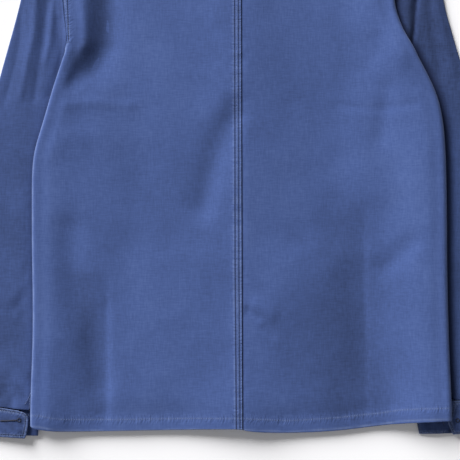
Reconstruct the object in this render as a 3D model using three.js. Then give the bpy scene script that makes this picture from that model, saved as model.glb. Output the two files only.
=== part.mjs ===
// A button-up chore jacket of heavy cotton, lying flat on its front with the back up.
// Millimetres, +Z up, +Y towards the collar. Plan positions count from the middle of the back hem.
// Left and right are the wearer's, so the left is at -X.
import * as THREE from "three";

// Cloth
const cloth = 1.4; // one ply of body, sleeve and pocket
const seamGap = 0.3; // between two sewn pieces
const hemDepth = 14.4; // turned-up edge of the body
const hemPly = 1.3; // what the turned edge adds on the inside
const cuffPly = 2.8; // cuff band, two plies
const collarPly = 2.2; // collar, two plies
const feltTo = 3.6; // the left half of the back ends this far right of the centre
const feltPly = 0.9; // what the felled seam adds on the outside

// Body
const backNeckY = 680; // hem to the neck seam at the centre back
const neckY = 690; // hem to the neck end of the shoulder
const neckHalf = 75; // centre to the neck end of the shoulder
const shoulderY = 646; // hem to the tip of the shoulder
const shoulderHalf = 228; // centre to the tip of the shoulder
const yokeY = 560; // above this the rows bend to the shoulder line
const underarmY = 452; // hem to the foot of the armhole
const frontNeckY = 612; // hem to the neck seam at the centre front
const frontLap = 20; // each front passes the centre by this
const leftFold = 3.0; // mid-cloth radius of the left side fold
const rightFold = 5.2; // the right one stands higher off its sleeve
const shoulderFold = 2.4; // both towards the shoulder
const foldTail = 4; // the side seam lies this far under the fold
const plyGap = 2.0; // air between back and front
const hemGap = 3.4; // the same at the hem

const middleY = 348.7; // the middle of the whole length, from the hem

// Sleeves and cuffs
const sleeveAir = 0.6; // air between the two plies of a sleeve
const sleeveStack = 2 * cloth + sleeveAir; // height of a sleeve under the body
const bodyClear = 0.5; // air between a sleeve and the front above it
const tallestFold = 3; // of a sleeve's upper ply
const footRings = 9; // rings that fan about the foot of the armhole
const footHigh = 5.5; // mid-cloth heights of both plies at that foot
const footLow = 2.4;

// Pockets and buttons
const pocketIn = 34;
const pocketWide = 130;
const pocketFoot = 36;
const pocketHigh = 170;
const pocketOut = pocketIn + pocketWide;
const pocketTop = pocketFoot + pocketHigh;
const buttonWide = 20;
const buttonThick = 2.4;
const buttonYs = [62, 190, 318, 446, 574];
const cuffButtonWide = 15;
const cuffButtonThick = 2.0;
const buttonHoleOut = 0.11; // share of the width from the middle to each thread hole
const buttonHoleRadius = 0.05; // share of the width
const buttonLift = 3.2; // how far a front rises over the cuff's button beneath it
const notchLift = 1.9; // and over the foot of the armhole, where the seams meet

const table = (names, lists) =>
  lists.map((list) => Object.fromEntries(names.split(" ").map((name, i) => [name, list[i]])));

// The body's side edges as seen from above, distance from the centre line.
const sides = table("y left right", [
  [-12, 248.4, 255.6],
  [12, 248.6, 255.4],
  [62, 247.8, 253.9],
  [98, 246.4, 252.7],
  [133, 246.0, 251.8],
  [186, 246.5, 250.5],
  [239, 247.2, 250.3],
  [303, 247.2, 249.5],
  [321, 246.8, 249.0],
  [338, 243.6, 248.3],
  [361, 236.0, 246.6],
  [384, 229.3, 243.3],
  [404, 223.6, 236.9],
  [420, 218.4, 229.8],
  [439, 211.8, 219.2],
  [460, 206.0, 208.8],
  [478, 206.8, 197.8],
  [490, 208.6, 192.8],
  [504, 210.5, 189.4],
  [515, 211.7, 186.7],
  [540, 215.0, 190.0],
  [575, 219.5, 204.0],
  [610, 223.8, 218.0],
  [646, 228.0, 228.0],
  [700, 228.0, 228.0],
]);

// The hem's dip below or rise above its middle, across the whole body.
const hem = table("x y", [
  [-252, 8.0],
  [-246, 2.0],
  [-239, -0.4],
  [-224, -2.8],
  [-193, -3.6],
  [-145, -2.8],
  [-74, -1.4],
  [-4, 0.2],
  [6, -0.8],
  [14, -2.9],
  [36, -4.4],
  [61, -5.0],
  [96, -4.1],
  [122, -2.4],
  [149, 0.8],
  [193, 6.5],
  [236, 10.0],
  [256, 10.8],
]);

// How far round the side fold the back reaches: 1 is the seam under the fold, 0 a flat edge.
const wraps = table("y left right", [
  [-12, 1, 1],
  [440, 1, 1],
  [452, 0.85, 0.8],
  [464, 0, 0.42],
  [520, 0, 0.4],
  [575, 0, 0],
  [700, 0, 0],
]);

// The front's armhole edge, distance from the centre line.
const frontArm = table("y left right", [
  [452, 199, 203],
  [460, 193, 200.5],
  [475, 186, 193],
  [500, 181, 182],
  [530, 182, 178],
  [570, 192, 188],
  [610, 208, 207],
  [646, 228, 228],
]);

// The inner fold of each sleeve, hidden under the body.
const tuck = table("y left right", [
  [-12, 241, 218],
  [30, 226, 212],
  [100, 196, 192],
  [200, 172, 172],
  [280, 162, 162],
  [340, 160, 160],
  [390, 168, 168],
  [425, 186, 186],
  [452, 203, 206],
]);

// The largest soft folds of the back: a ridge or trough from one point to the other.
const backFolds = table("x1 y1 x2 y2 wide high", [
  [45, 470, 40, 60, 34, 2.2],
  [-60, 470, -80, 60, 40, 1.4],
  [-216, 330, -222, 60, 15, 1.6],
  [-166, 530, -170, 455, 16, -1.3],
  [-196, 470, -176, 430, 12, -0.9],
  [-190, 500, -194, 462, 9, 1.0],
  [-209, 240, -198, 150, 15, -1.1],
  [-198, 150, -178, 80, 15, -1.2],
  [-178, 80, -160, 28, 13, -1.1],
  [-156, 155, -156, 14, 7, 0.9],
  [-10, 380, -38, 318, 12, -1.1],
  [-38, 318, -48, 276, 11, -0.8],
  [162, 238, 150, 18, 10, -0.9],
  [176, 412, 168, 330, 9, -0.8],
  [202, 224, 163, 186, 9, -0.9],
  [206, 404, 130, 386, 9, 0.7],
  [-206, 392, -130, 400, 8, 0.8],
  [205, 440, 160, 470, 16, 1.0],
  [60, 120, 90, 30, 26, 0.9],
  [-90, 150, -70, 40, 28, 0.9],
]);

// A sleeve ring a row: its inner fold, its outer fold, how far from the inner fold the upper ply
// ends at the back seam, how far the lower ply turns up to that seam, the armhole's curve in the
// upper and in the lower ply, the ring's rise off the ground and how far it swings out past the
// foot of the armhole.
const sleeveRings = {
  left: table("inX inY outX outY seam turn bow lowBow rise hook", [
    [203, 457, 228, 646, 1.5, 0, 1, 1, 1, 0],
    [203.5, 448, 237, 622, 1.5, 0, 0.7, 0.71, 0.42, 5],
    [197.7, 437.3, 244, 592, 1.5, 0, 0.4, 0.36, 0.12, 11],
    [195.5, 416, 252, 556, 1.5, 0, 0.15, 0.14, 0, 11],
    [191, 395.5, 261, 515, 3, 0.3, 0, 0.08, 0, 11],
    [179.7, 369.5, 271, 478, 8, 0.8, 0, 0, 0, 11],
    [165.3, 348, 282, 440, 13, 1, 0, 0, 0, 10],
    [160, 316, 293, 400, 18, 1, 0, 0, 0, 0],
    [161, 278, 306, 352, 18, 1, 0, 0, 0, 0],
    [165, 238, 320, 303, 18, 1, 0, 0, 0, 0],
    [171, 198, 333, 252, 20, 1, 0, 0, 0, 0],
    [179, 158, 345, 201, 22, 1, 0, 0, 0, 0],
    [188, 120, 355, 152, 26, 1, 0, 0, 0, 0],
    [198, 88, 362, 110, 32, 0.8, 0, 0, 0, 0],
    [209, 60, 366.5, 80, 34, 0.3, 0, 0, 0, 0],
    [224, 38, 369, 56, 28, 0, 0, 0, 0, 0],
    [240, 20.4, 370, 36.4, 14, 0, 0, 0, 0, 0],
  ]),
  right: table("inX inY outX outY seam turn bow lowBow rise hook", [
    [205, 457, 228, 646, 1.5, 0, 1, 1, 1, 0],
    [206, 448, 234, 618, 1.5, 0, 0.7, 0, 0.42, 4.8],
    [202.3, 439, 239, 586, 1.5, 0, 0.4, 0, 0.12, 10.2],
    [201.5, 430, 243, 550, 1.5, 0, 0.15, 0, 0, 11],
    [201, 420.5, 246, 515, 3, 0.3, 0, 0, 0, 10.8],
    [190.7, 378.3, 255, 485, 8, 0.8, 0, 0, 0, 11],
    [174, 336, 268, 440, 13, 1, 0, 0, 0, 11],
    [165.7, 316, 283, 400, 18, 1, 0, 0, 0, 4.2],
    [161, 278, 300, 352, 18, 1, 0, 0, 0, 0],
    [165, 238, 317, 303, 18, 1, 0, 0, 0, 0],
    [171, 198, 332, 252, 20, 1, 0, 0, 0, 0],
    [179, 158, 345, 201, 22, 1, 0, 0, 0, 0],
    [188, 120, 355, 152, 26, 1, 0, 0, 0, 0],
    [196, 88, 362, 110, 34, 0.8, 0, 0, 0, 0],
    [203, 66, 366.5, 82, 42, 0.3, 0, 0, 0, 0],
    [208, 50, 369, 60, 46, 0, 0, 0, 0, 0],
    [212, 33.4, 370, 36, 47, 0, 0, 0, 0, 0],
  ]),
};

// Each cuff from its foot to its head: upper end, lower end and outer fold, with their heights.
const cuffRings = {
  left: table("upX upY lowX lowY outX outY", [
    [256, -11.6, 241, -9, 371, -5.5],
    [253, -6, 240.5, -3, 371, 0],
    [252, 6, 240, 6, 370.5, 14],
    [251, 16, 240, 15, 370, 31],
    [252, 20.1, 240, 20.1, 370, 36.1],
  ]),
  right: table("upX upY lowX lowY outX outY", [
    [258.5, -6.8, 218.5, -6.8, 371, -4.4],
    [258, -2, 217, 1, 371, 3],
    [258, 10, 214.5, 11.5, 370.5, 14],
    [258.5, 26, 213, 25, 370, 29],
    [259, 33, 212, 33.1, 370, 35.7],
  ]),
};

// Where each cuff's button lies under its lower ply.
const cuffButtons = { left: { x: 258, y: 5 }, right: { x: 238, y: 12 } };

// The collar's right half from the centre back to its point on the front:
// the neck seam, the roll line and the free edge, with the height of the seam and of the free edge.
const collarRings = table("neckX neckY neckZ rollX rollY edgeX edgeY edgeZ", [
  [0, 681, 8.6, 0, 704, 0, 648, 12.0],
  [27, 682.5, 8.6, 28, 704.5, 31, 648.5, 11.8],
  [50, 686, 8.0, 53, 705.5, 61, 651, 11.0],
  [66, 691, 7.0, 71, 706, 86, 657, 10.2],
  [77, 695, 6.0, 83, 707, 105, 676, 9.2],
  [82, 697, 4.8, 88, 706, 114, 694, 5.4],
  [82, 695, 3.9, 86, 703, 114, 691, 1.5],
  [67, 686, 3.6, 63, 696, 110, 668, 1.1],
  [55, 655, 3.5, 43, 671, 99, 634, 1.1],
  [42, 627, 3.5, 30, 651, 80, 603, 1.1],
  [21, 616, 3.5, 17, 643, 58, 584, 1.1],
]);

// Lengthwise folds of the visible sleeves, on the upper ply.
const sleeveFolds = table("side x1 y1 x2 y2 wide high", [
  [-1, 240, 560, 246, 468, 6, 2.2],
  [-1, 246, 468, 258, 400, 6, 1.8],
  [-1, 224, 530, 228, 455, 5, 1.6],
  [-1, 254, 330, 262, 230, 12, 0.7],
  [-1, 252, 190, 272, 140, 9, 0.6],
  [1, 203, 520, 207, 470, 6, 2.4],
  [1, 224, 520, 236, 400, 9, 1.1],
  [1, 238, 515, 256, 430, 5, 0.9],
  [1, 262, 330, 264, 200, 10, 0.7],
]);

const clamp01 = (v) => Math.min(1, Math.max(0, v));
const soft = (from, to, v) => {
  const s = clamp01((v - from) / (to - from));
  return s * s * (3 - 2 * s);
};
const mix = (a, b, s) => a + (b - a) * s;

// A value from a table, curved through its rows.
function read(rows, key, name, v) {
  const last = rows.length - 1;
  if (v <= rows[0][key]) return rows[0][name];
  if (v >= rows[last][key]) return rows[last][name];
  const i = rows.findIndex((row) => row[key] > v) - 1;
  const slope = (a, b) => (rows[b][name] - rows[a][name]) / (rows[b][key] - rows[a][key]);
  const here = slope(i, i + 1);
  const tangent = (before, after) => (before * after <= 0 ? 0 : (2 * before * after) / (before + after));
  const m0 = i > 0 ? tangent(slope(i - 1, i), here) : here;
  const m1 = i + 1 < last ? tangent(here, slope(i + 1, i + 2)) : here;
  const h = rows[i + 1][key] - rows[i][key];
  const t = (v - rows[i][key]) / h;
  const t2 = t * t;
  const t3 = t2 * t;
  return (
    (2 * t3 - 3 * t2 + 1) * rows[i][name] +
    (t3 - 2 * t2 + t) * h * m0 +
    (3 * t2 - 2 * t3) * rows[i + 1][name] +
    (t3 - t2) * h * m1
  );
}

const sideFold = (side, y) => mix(side < 0 ? leftFold : rightFold, shoulderFold, soft(490, 585, y));
const sideName = (side) => (side < 0 ? "left" : "right");

// The shoulder and neck line above a plan position.
const shoulderAt = (x) =>
  mix(neckY, shoulderY, clamp01((Math.abs(x) - neckHalf) / (shoulderHalf - neckHalf)));
const backTopAt = (x) =>
  Math.abs(x) > neckHalf
    ? shoulderAt(x)
    : backNeckY + (neckY - backNeckY) * Math.pow(Math.abs(x) / neckHalf, 2.4);
const frontTopAt = (x) => {
  const across = clamp01(Math.abs(x) / neckHalf);
  return Math.abs(x) > neckHalf
    ? shoulderAt(x)
    : frontNeckY + (neckY - frontNeckY) * (1 - Math.sqrt(1 - Math.pow(across, 2.6)));
};

// Underside of the fronts: flat on the ground, lifted over what lies beneath.
function frontUnder(x, y) {
  const side = x < 0 ? -1 : 1;
  const out = Math.abs(x);
  const inner = read(tuck, "y", sideName(side), Math.min(y, underarmY));
  const overSleeve = (sleeveStack + bodyClear) * soft(inner - 42, inner - 6, out) * soft(575, 465, y);
  const snap = cuffButtons[sideName(side)];
  const hill = (x0, y0, wide) => Math.exp(-((out - x0) ** 2 + (y - y0) ** 2) / (2 * wide ** 2));
  const overSnap = buttonLift * hill(snap.x, snap.y, 32);
  const notch = notchLift * hill(204, underarmY, 24);
  const across = soft(pocketIn - 16, pocketIn - 3, out) * soft(pocketOut + 14, pocketOut + 3, out);
  const along = soft(pocketFoot - 16, pocketFoot - 3, y) * soft(pocketTop + 16, pocketTop + 3, y);
  const overPocket = (cloth + seamGap) * across * along;
  const overButtons = (buttonThick + seamGap) * soft(34, 17, out) * soft(640, 600, y);
  const overCollar = (collarPly + 2 * seamGap) * soft(160, 118, out) * soft(540, 576, y);
  return Math.max(overSleeve + notch + overSnap, overPocket, overButtons, overCollar);
}

// What a list of folds adds to the height at one place.
const foldSum = (folds, x, y) =>
  folds.reduce((sum, f) => {
    const dx = f.x2 - f.x1;
    const dy = f.y2 - f.y1;
    const s = clamp01(((x - f.x1) * dx + (y - f.y1) * dy) / (dx * dx + dy * dy));
    const away = Math.hypot(x - f.x1 - dx * s, y - f.y1 - dy * s);
    return sum + f.high * Math.exp(-0.5 * (away / f.wide) ** 2);
  }, 0);

// Heights of the middle of each body ply.
const frontMid = (x, y) => frontUnder(x, y) + cloth / 2;
const lapLift = (y) => cloth + 2 * seamGap + hemPly * (1 - soft(hemDepth + 8, 62, y));
const rightFrontMid = (x, y) => frontMid(x, y) + lapLift(y) * (1 - soft(frontLap + 3, 60, x));
function backMid(x, y, side) {
  const edge = read(sides, "y", sideName(side), y);
  const out = Math.abs(x);
  const nearHem = 1 - soft(hemDepth + 4, 80, y);
  const nearSide = soft(edge - (side < 0 ? 40 : 78), edge - 9, out);
  const air = mix(mix(plyGap, hemGap, nearHem), 2 * sideFold(side, y) - cloth, nearSide);
  const toShoulder = soft(0, 16, backTopAt(x) - y + (out < neckHalf ? 16 : 0));
  const relief = foldSum(backFolds, x, y) * (1 - 0.8 * nearSide) * (1 - 0.8 * nearHem);
  const overLap = lapLift(y) * (1 - soft(frontLap + 10, 75, out));
  return frontMid(x, y) + overLap + cloth + mix(2 * seamGap, air + relief, toShoulder);
}

// A wall of cloth about a grid of mid points, each with what it has above and below.
function sheet(grid, above, below) {
  const rowCount = grid.length;
  const colCount = grid[0].length;
  const within = (count, i) => Math.min(count - 1, Math.max(0, i));
  const at = (i, j) => grid[within(rowCount, i)][within(colCount, j)];
  const corners = [];
  for (let i = 0; i < rowCount; i++) {
    for (let j = 0; j < colCount; j++) {
      const along = at(i, j + 1).clone().sub(at(i, j - 1));
      const up = at(i + 1, j).clone().sub(at(i - 1, j));
      const normal = along.cross(up).normalize();
      corners.push(at(i, j).clone().addScaledVector(normal, above(i, j)));
      corners.push(at(i, j).clone().addScaledVector(normal, -below(i, j)));
    }
  }
  const top = (i, j) => 2 * (i * colCount + j);
  const faces = [];
  const quad = (a, b, c, d) => faces.push(a, b, c, a, c, d);
  for (let i = 0; i + 1 < rowCount; i++) {
    for (let j = 0; j + 1 < colCount; j++) {
      quad(top(i, j), top(i, j + 1), top(i + 1, j + 1), top(i + 1, j));
      quad(top(i, j) + 1, top(i + 1, j) + 1, top(i + 1, j + 1) + 1, top(i, j + 1) + 1);
    }
    const end = colCount - 1;
    quad(top(i, 0), top(i + 1, 0), top(i + 1, 0) + 1, top(i, 0) + 1);
    quad(top(i + 1, end), top(i, end), top(i, end) + 1, top(i + 1, end) + 1);
  }
  for (let j = 0; j + 1 < colCount; j++) {
    const end = rowCount - 1;
    quad(top(0, j + 1), top(0, j), top(0, j) + 1, top(0, j + 1) + 1);
    quad(top(end, j), top(end, j + 1), top(end, j + 1) + 1, top(end, j) + 1);
  }
  const geometry = new THREE.BufferGeometry();
  const places = corners.flatMap((p) => p.toArray());
  geometry.setAttribute("position", new THREE.Float32BufferAttribute(places, 3));
  geometry.setIndex(faces);
  return geometry;
}

const jacket = new THREE.Group();
function addPiece(name, geometry, color) {
  const flat = geometry.index ? geometry.toNonIndexed() : geometry;
  flat.computeVertexNormals();
  const mesh = new THREE.Mesh(flat, new THREE.MeshStandardMaterial({ color, roughness: 0.85 }));
  mesh.name = name;
  jacket.add(mesh);
}

// The body's section at one height: over the back, round the side fold and under it.
function foldPoint(side, y, past) {
  const edge = read(sides, "y", sideName(side), y);
  const radius = sideFold(side, y);
  const turnX = edge - radius;
  if (past <= 0) return { x: side * (turnX + past), z: backMid(side * (turnX + past), y, side) };
  const top = backMid(side * turnX, y, side);
  const foot = top - 2 * radius;
  const arc = Math.PI * radius;
  if (past > arc) return { x: side * (turnX - (past - arc)), z: foot };
  const angle = past / radius;
  return {
    x: side * (turnX + radius * Math.sin(angle)),
    z: top - radius + radius * Math.cos(angle),
  };
}
const foldReach = (side, y) =>
  read(wraps, "y", sideName(side), y) * (Math.PI * sideFold(side, y) + foldTail);

const bodyRows = [
  0, 7, hemDepth, 22, pocketFoot, 62, 95, 130, 165, pocketTop, 222, 250, 280, 310, 335, 360, 385, 405,
  425, 440, 449, 456, 465, 476, 495, 515, 537, yokeY,
];
const pocketOuts = [pocketIn, 46, 75, 105, 135, 155, pocketOut];
const outerShares = [0.14, 0.3, 0.5, 0.75, 1]; // from the pocket to the side seam
const hemDip = (x, y) => read(hem, "x", "y", x) * (1 - soft(10, 130, y));
const yokeSteps = [0.28, 0.55, 0.8, 0.93, 1];

// One half of the back, from the centre seam round the side fold.
function backPanel(side) {
  const from = side < 0 ? feltTo : feltTo + seamGap; // the left half laps over the right
  const nearSeam = side < 0 ? [0, 0.016, 0.031, 0.04] : [0, 0.012, 0.03];
  const plain = [0.1, 0.2, 0.3, 0.41, 0.52, 0.63, 0.74, 0.84, 0.92, 1];
  const parts = [...nearSeam, ...plain];
  const roundSteps = 8;
  const roundFrom = -5;
  const rowAt = (y, yAt) => {
    const flatEnd = read(sides, "y", sideName(side), y) - sideFold(side, y) + roundFrom;
    const row = parts.map((s) => {
      const x = mix(from, side * flatEnd, s);
      return new THREE.Vector3(x, yAt(x), backMid(x, yAt(x), side));
    });
    for (let k = 1; k <= roundSteps; k++) {
      const p = foldPoint(side, y, mix(roundFrom, foldReach(side, y), k / roundSteps));
      row.push(new THREE.Vector3(p.x, yAt(p.x), p.z));
    }
    return row;
  };
  const grid = bodyRows.map((y) => rowAt(y, (x) => y + hemDip(x, y)));
  for (const s of yokeSteps) {
    grid.push(rowAt(mix(yokeY, shoulderY, s), (x) => mix(yokeY, backTopAt(x), s)));
  }
  if (side < 0) grid.forEach((row) => row.reverse());
  const inHem = (i) => (bodyRows[i] <= hemDepth ? hemPly : 0);
  const onBand = (j) => (side < 0 && j > grid[0].length - nearSeam.length ? feltPly : 0);
  return sheet(grid, (i, j) => cloth / 2 + onBand(j), (i) => cloth / 2 + inHem(i));
}

// One front, from its lapped edge to the side seam and the armhole.
const frontEnd = (side, y) => {
  const seam = read(sides, "y", sideName(side), y) - sideFold(side, y) - foldTail - seamGap;
  return mix(seam, read(frontArm, "y", sideName(side), y), soft(440, 454, y));
};
function frontGrid(side) {
  const inner = [-frontLap, 0, 15, 24, ...pocketOuts];
  const mid = side < 0 ? frontMid : rightFrontMid;
  const rowAt = (y, yAt) => {
    const outs = [...inner, ...outerShares.map((s) => mix(pocketOut, frontEnd(side, y), s))];
    return outs.map((out) => {
      const x = side * out;
      return new THREE.Vector3(x, yAt(x), mid(x, yAt(x)));
    });
  };
  const grid = bodyRows.map((y) => rowAt(y, (x) => y + hemDip(x, y)));
  for (const s of yokeSteps) {
    grid.push(rowAt(mix(yokeY, shoulderY, s), (x) => mix(yokeY, frontTopAt(x), s)));
  }
  return grid;
}
function facing(side, grid) {
  return side < 0 ? grid.map((row) => [...row].reverse()) : grid;
}
function frontPanel(side) {
  const turned = (i) => (bodyRows[i] <= hemDepth ? hemPly : 0);
  return sheet(facing(side, frontGrid(side)), (i) => cloth / 2 + turned(i), () => cloth / 2);
}

// A patch pocket made from its front's own points, moved out towards the ground.
function patchPocket(side) {
  const whole = frontGrid(side);
  const firstRow = bodyRows.indexOf(pocketFoot);
  const lastRow = bodyRows.indexOf(pocketTop);
  const firstCol = whole[0].length - outerShares.length - pocketOuts.length;
  const grid = whole
    .slice(firstRow, lastRow + 1)
    .map((row) => row.slice(firstCol, firstCol + pocketOuts.length).map((p) => p.clone()));
  grid.flat().forEach((p) => (p.z -= cloth + seamGap));
  return sheet(facing(side, grid), () => cloth / 2, () => cloth / 2);
}

// A four-hole button with its face to the ground.
function buttonAt(x, y, wide, thick) {
  const disc = new THREE.Shape();
  disc.absarc(0, 0, wide / 2, 0, 2 * Math.PI);
  for (const [hx, hy] of [[1, 1], [1, -1], [-1, 1], [-1, -1]]) {
    const hole = new THREE.Path();
    const out = wide * buttonHoleOut;
    hole.absarc(hx * out, hy * out, wide * buttonHoleRadius, 0, 2 * Math.PI, true);
    disc.holes.push(hole);
  }
  const plan = { depth: thick, bevelEnabled: false, curveSegments: 6 };
  return new THREE.ExtrudeGeometry(disc, plan).translate(x, y, 0);
}

// Heights of a sleeve's two plies where it lies on the ground, with the visible folds.
function sleeveHeights(side, x, y, ply) {
  const out = Math.abs(x);
  const snap = cuffButtons[sideName(side)];
  const past = Math.hypot(out - snap.x, y - snap.y) - cuffButtonWide / 2;
  const low = ply / 2 + (cuffButtonThick + 2 * seamGap) * soft(24, 9, past);
  const edge = read(sides, "y", sideName(side), y);
  const open = soft(edge + 3, edge + 15, out);
  const folds = foldSum(sleeveFolds.filter((f) => f.side === side), out, y);
  const toCuff = ply === cloth ? soft(110, 40, y) * 2 * (cuffPly - cloth) : 0;
  const spare = ply === cloth ? 0 : 0.7 * soft(44, 14, past); // the band arches over its button
  return { low, high: low + ply + sleeveAir + spare + open * (Math.min(folds, tallestFold) + toCuff) };
}

// The section of a sleeve or cuff: out along the upper ply, round the outer fold, in along the lower.
function tubeSection(upper, lower, steps, turn, bulge, tuckIn) {
  const points = steps.map((s) => upper(s));
  const turnFrom = (a, b, dir) => {
    const half = b.clone().sub(a).multiplyScalar(0.5);
    const centre = a.clone().add(half);
    return [1, 2, 3].map((k) => {
      const angle = (k * Math.PI) / 4;
      return centre
        .clone()
        .addScaledVector(half, -Math.cos(angle))
        .addScaledVector(dir, Math.abs(half.z) * Math.sin(angle));
    });
  };
  points.push(...turnFrom(upper(1), lower(1), bulge));
  points.push(...[...steps].reverse().map((s) => lower(s)));
  if (tuckIn) {
    // The lower ply curls up towards the upper one, by half a turn where the fold is closed.
    const curl = Math.max(turn, 0.02);
    const reach = turn > 0 ? 1 : 0.3; // an open edge ends soon
    const radius = ((upper(0).z - lower(0).z) / 2 / curl) * reach;
    for (const k of [1, 2, 3, 4]) {
      const angle = (curl * k * Math.PI) / 3;
      const p = lower(0).addScaledVector(tuckIn, radius * Math.sin(angle));
      p.z += radius * (1 - Math.cos(angle));
      points.push(p);
    }
  }
  return points;
}

// Shares of the armhole at the heights of the body's rows, so that both follow it alike.
const sectionSteps = [0, 0.042, 0.1, 0.2, 0.307, 0.42, 0.545, 0.672, 0.794, 0.91, 0.968, 1];

// The way out of a row of rings, square to the line that their ends make.
function squareTo(rings, i, xName, yName, side, outward) {
  const before = rings[Math.max(0, i - 1)];
  const after = rings[Math.min(rings.length - 1, i + 1)];
  const dx = after[xName] - before[xName];
  const dy = after[yName] - before[yName];
  return new THREE.Vector3(-dy * side * outward, dx * outward, 0).normalize();
}

function sleeve(side) {
  const name = sideName(side);
  const grid = sleeveRings[name].map((ring, i) => {
    const inner = new THREE.Vector3(side * ring.inX, ring.inY, 0);
    const outer = new THREE.Vector3(side * ring.outX, ring.outY, 0);
    const span = outer.distanceTo(inner);
    const outFold = squareTo(sleeveRings[name], i, "outX", "outY", side, 1);
    const inFold =
      i < footRings
        ? squareTo(sleeveRings[name], i, "inX", "inY", side, -1)
        : inner.clone().sub(outer).normalize();
    const lapped = (s) => 1 - soft(0.8, 1, s);
    // The armhole's own curve, measured off the straight line from its foot to its tip.
    const bowed = (s, edgeAt, tuckIn, bow) => {
      const y = mix(sleeveRings[name][0].inY, shoulderY, s);
      const x = edgeAt(y) - tuckIn * lapped(s) + seamGap * (2 - lapped(s));
      const straight = mix(sleeveRings[name][0].inX, shoulderHalf, s);
      const swing = ring.hook * soft(0, 0.06, s) * (1 - s);
      return side * ((x - straight) * bow + swing);
    };
    const plan = (s, edgeAt, tuckIn, bow) => {
      const p = inner.clone().lerp(outer, s);
      p.x += bowed(s, edgeAt, tuckIn, bow);
      return p;
    };
    const backEdge = (y) => read(sides, "y", name, y);
    const frontEdge = (y) => read(frontArm, "y", name, y);
    const turnShare = 1.2 / span;
    const fromSeam = ring.seam / span;
    const onto = (s, upper) => {
      const t = mix(turnShare, 1 - turnShare, s);
      const p = upper ? plan(t, backEdge, 3, ring.bow) : plan(t, frontEdge, -1.6, ring.lowBow);
      const h = sleeveHeights(side, p.x, p.y, cloth);
      const foot = soft(0, 0.1, t);
      const y = mix(underarmY, shoulderY, t);
      if (upper) {
        const full = 2 * sideFold(side, y) - seamGap;
        const under = side < 0 ? cloth + seamGap : mix(full, cloth + seamGap, soft(520, 575, y));
        const belowBack = backMid(side * (backEdge(y) - 3), y, side) - mix(seamGap, under, lapped(t));
        const onLower = frontMid(side * backEdge(y), y) + cloth + sleeveAir;
        const joined = Math.max(belowBack, onLower);
        p.z = mix(h.high, mix(footHigh, joined, foot), ring.rise);
      } else {
        const joined = frontMid(side * frontEdge(y), y);
        p.z = mix(h.low, mix(footLow, joined, foot), ring.rise ** 1.6);
      }
      return p;
    };
    const upper = (s) => onto(s, true);
    const lower = (s) => onto(s, false);
    const section = tubeSection(upper, lower, sectionSteps, ring.turn, outFold, inFold);
    // The upper ply starts at the back seam, which stands a little in from the inner fold.
    sectionSteps.forEach((s, k) => section[k].copy(upper(mix(fromSeam, 1, s))));
    const last = section.length - 1;
    if (ring.turn > 0.5) section[last].copy(upper(fromSeam - seamGap / span));
    return section;
  });
  return sheet(side < 0 ? grid.map((row) => row.reverse()) : grid, () => cloth / 2, () => cloth / 2);
}

function cuff(side) {
  const grid = cuffRings[sideName(side)].map((ring) => {
    const point = (x, y, high) => {
      const h = sleeveHeights(side, side * x, y, cuffPly);
      return new THREE.Vector3(side * x, y, high ? h.high : h.low);
    };
    const upper = (s) => point(mix(ring.upX, ring.outX - 2, s), mix(ring.upY, ring.outY, s), true);
    const lower = (s) => point(mix(ring.lowX, ring.outX - 2, s), mix(ring.lowY, ring.outY, s), false);
    const steps = [0, 0.06, 0.16, 0.3, 0.45, 0.6, 0.75, 0.88, 1];
    return tubeSection(upper, lower, steps, 0, new THREE.Vector3(side, 0, 0));
  });
  return sheet(side < 0 ? grid.map((row) => row.reverse()) : grid, () => cuffPly / 2, () => cuffPly / 2);
}

// The collar: a stand up from the neck seam, the roll, and a fall back over the neck seam.
function collar() {
  const half = collarRings.map((ring) => {
    const neck = new THREE.Vector3(ring.neckX, ring.neckY, ring.neckZ);
    const edge = new THREE.Vector3(ring.edgeX, ring.edgeY, ring.edgeZ);
    const roll = new THREE.Vector3(ring.rollX, ring.rollY, 0);
    const rollNeck = roll.clone().setZ(ring.neckZ);
    const rollEdge = roll.clone().setZ(mix(ring.neckZ, ring.edgeZ, 0.98));
    const beyond = roll.clone().sub(neck).setZ(0).normalize();
    const tip = rollNeck.clone().lerp(rollEdge, 0.5).addScaledVector(beyond, 1.3);
    return [
      neck,
      neck.clone().lerp(rollNeck, 0.5),
      rollNeck,
      tip,
      rollEdge,
      rollEdge.clone().lerp(edge, 0.33),
      rollEdge.clone().lerp(edge, 0.67),
      edge,
    ];
  });
  const mirrored = half
    .slice(1)
    .reverse()
    .map((row) => row.map((p) => new THREE.Vector3(-p.x, p.y, p.z)));
  return sheet([...mirrored, ...half], () => collarPly / 2, () => collarPly / 2);
}

addPiece("back_left", backPanel(-1), 0x4b5f96);
addPiece("back_right", backPanel(1), 0x4e6299);
addPiece("front_left", frontPanel(-1), 0x475a90);
addPiece("front_right", frontPanel(1), 0x45588e);
addPiece("pocket_left", patchPocket(-1), 0x52669c);
addPiece("pocket_right", patchPocket(1), 0x52669c);
addPiece("collar", collar(), 0x465a90);
addPiece("sleeve_left", sleeve(-1), 0x4a5d93);
addPiece("sleeve_right", sleeve(1), 0x4a5d93);
addPiece("cuff_left", cuff(-1), 0x3f5085);
addPiece("cuff_right", cuff(1), 0x3f5085);
buttonYs.forEach((y, i) => {
  addPiece(`button_${i + 1}`, buttonAt(0, y, buttonWide, buttonThick), 0x232a45);
});
for (const side of [-1, 1]) {
  const { x, y } = cuffButtons[sideName(side)];
  const button = buttonAt(side * x, y, cuffButtonWide, cuffButtonThick);
  addPiece(`cuff_button_${sideName(side)}`, button, 0x232a45);
}

jacket.position.y = -middleY;
export default jacket;
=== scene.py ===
import math
import random
import bpy
import bmesh
import numpy as np
from mathutils import Matrix, Vector, noise
from mathutils.bvhtree import BVHTree


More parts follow.
